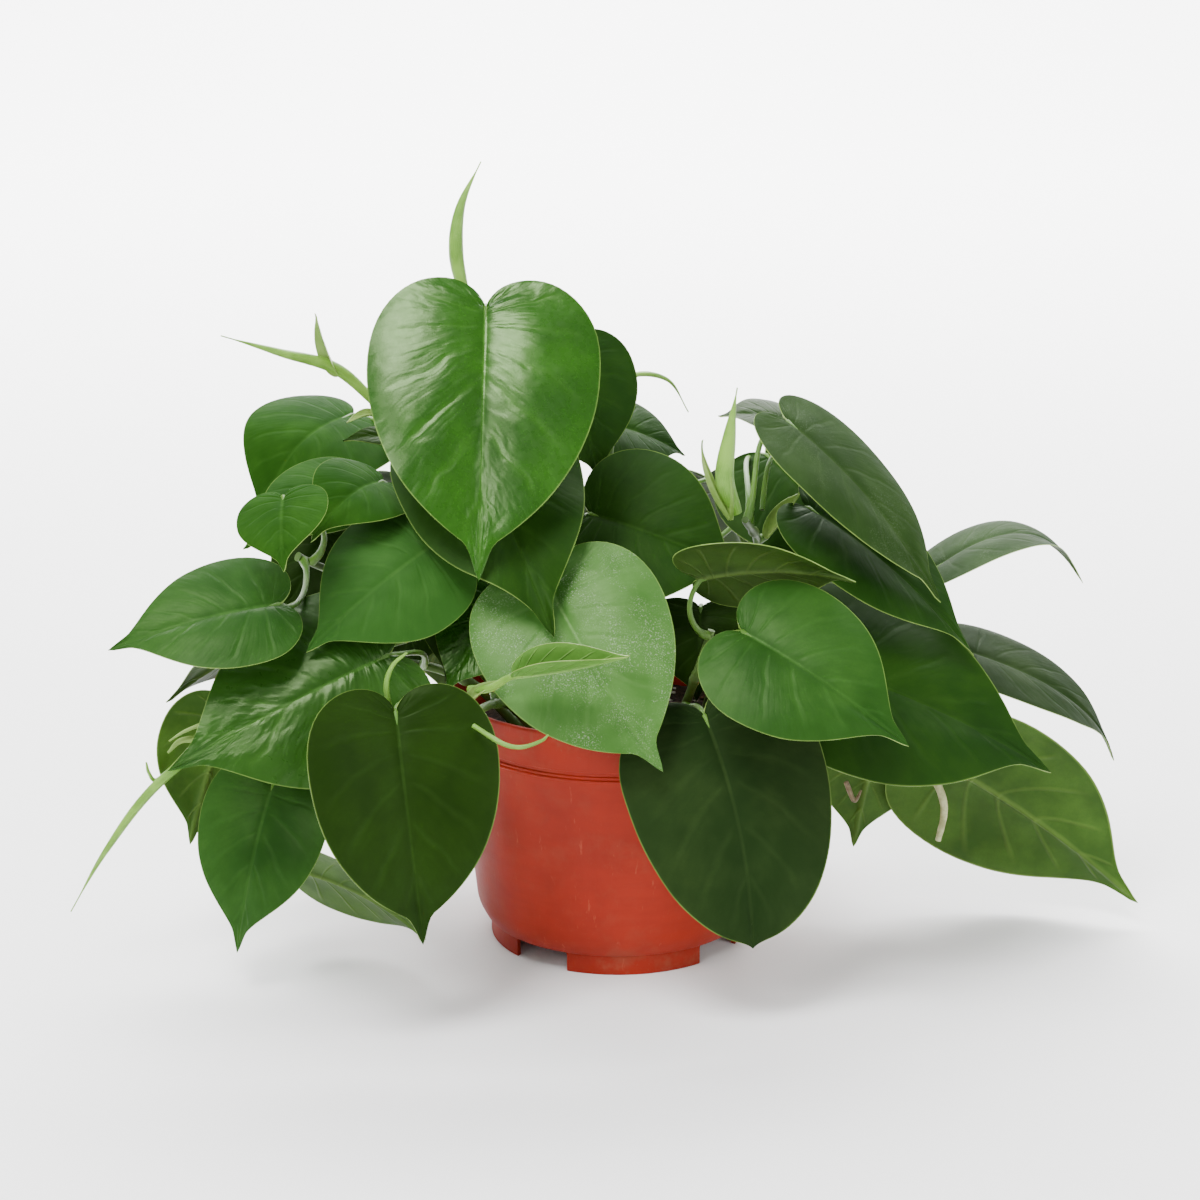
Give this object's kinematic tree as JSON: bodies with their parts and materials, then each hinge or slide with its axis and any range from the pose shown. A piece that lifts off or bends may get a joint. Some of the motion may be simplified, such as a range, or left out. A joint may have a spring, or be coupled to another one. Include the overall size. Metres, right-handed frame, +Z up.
{
  "type": "potted trailing plant",
  "caption": "Bushy trailing houseplant with heart-shaped leaves, rooted in soil in a round nursery pot with a banded rim and notched feet.",
  "frame": {"origin": "middle of the whole plant's box, at the height of the table the pot's feet stand on", "axes": "+X to the viewer's right along the widest spread of leaves, +Y to the back, +Z up; the pot's own axis is on Z"},
  "size_m": [0.4814, 0.2609, 0.3511],
  "materials": {
    "terracotta_plastic": "satin",
    "potting_soil": "rough and fibrous",
    "stem_green": "satin",
    "leaf_green": "glossy",
    "shoot_green": "satin"
  },
  "bodies": {
    "root": {"pot": "terracotta_plastic", "soil": "potting_soil", "vine_crown": "stem_green", "vine_left_high": "stem_green", "vine_left": "stem_green", "vine_left_low": "stem_green", "vine_front_left": "stem_green", "vine_front": "stem_green", "vine_right_front": "stem_green", "vine_right": "stem_green", "vine_right_low": "stem_green", "vine_back": "stem_green", "vine_back_left": "stem_green", "crown_leaf_1": "leaf_green", "crown_leaf_2": "leaf_green", "crown_leaf_3": "leaf_green", "left_high_leaf_1": "leaf_green", "left_high_leaf_2": "leaf_green", "left_leaf_1": "leaf_green", "left_leaf_2": "leaf_green", "left_leaf_3": "leaf_green", "left_leaf_4": "leaf_green", "left_leaf_5": "leaf_green", "left_low_leaf_1": "leaf_green", "left_low_leaf_2": "leaf_green", "left_low_leaf_3": "leaf_green", "front_left_leaf_1": "leaf_green", "front_left_leaf_2": "leaf_green", "front_left_leaf_3": "leaf_green", "front_leaf_1": "leaf_green", "front_leaf_2": "leaf_green", "right_front_leaf_1": "leaf_green", "right_front_leaf_2": "leaf_green", "right_front_leaf_3": "leaf_green", "right_leaf_1": "leaf_green", "right_leaf_2": "leaf_green", "right_leaf_3": "leaf_green", "right_leaf_4": "leaf_green", "right_leaf_5": "leaf_green", "right_leaf_6": "leaf_green", "right_low_leaf_1": "leaf_green", "right_low_leaf_2": "leaf_green", "right_low_leaf_3": "leaf_green", "right_low_leaf_4": "leaf_green", "right_low_leaf_5": "leaf_green", "back_leaf_1": "leaf_green", "back_leaf_2": "leaf_green", "back_leaf_3": "leaf_green", "back_leaf_4": "leaf_green", "back_leaf_5": "leaf_green", "back_leaf_6": "leaf_green", "back_left_leaf_1": "leaf_green", "back_left_leaf_2": "leaf_green", "back_left_leaf_3": "leaf_green", "crown_shoot": "shoot_green", "left_high_shoot": "shoot_green", "left_low_shoot": "shoot_green", "right_shoot": "shoot_green", "front_shoot": "shoot_green", "back_shoot": "shoot_green"}
  },
  "joints": []
}
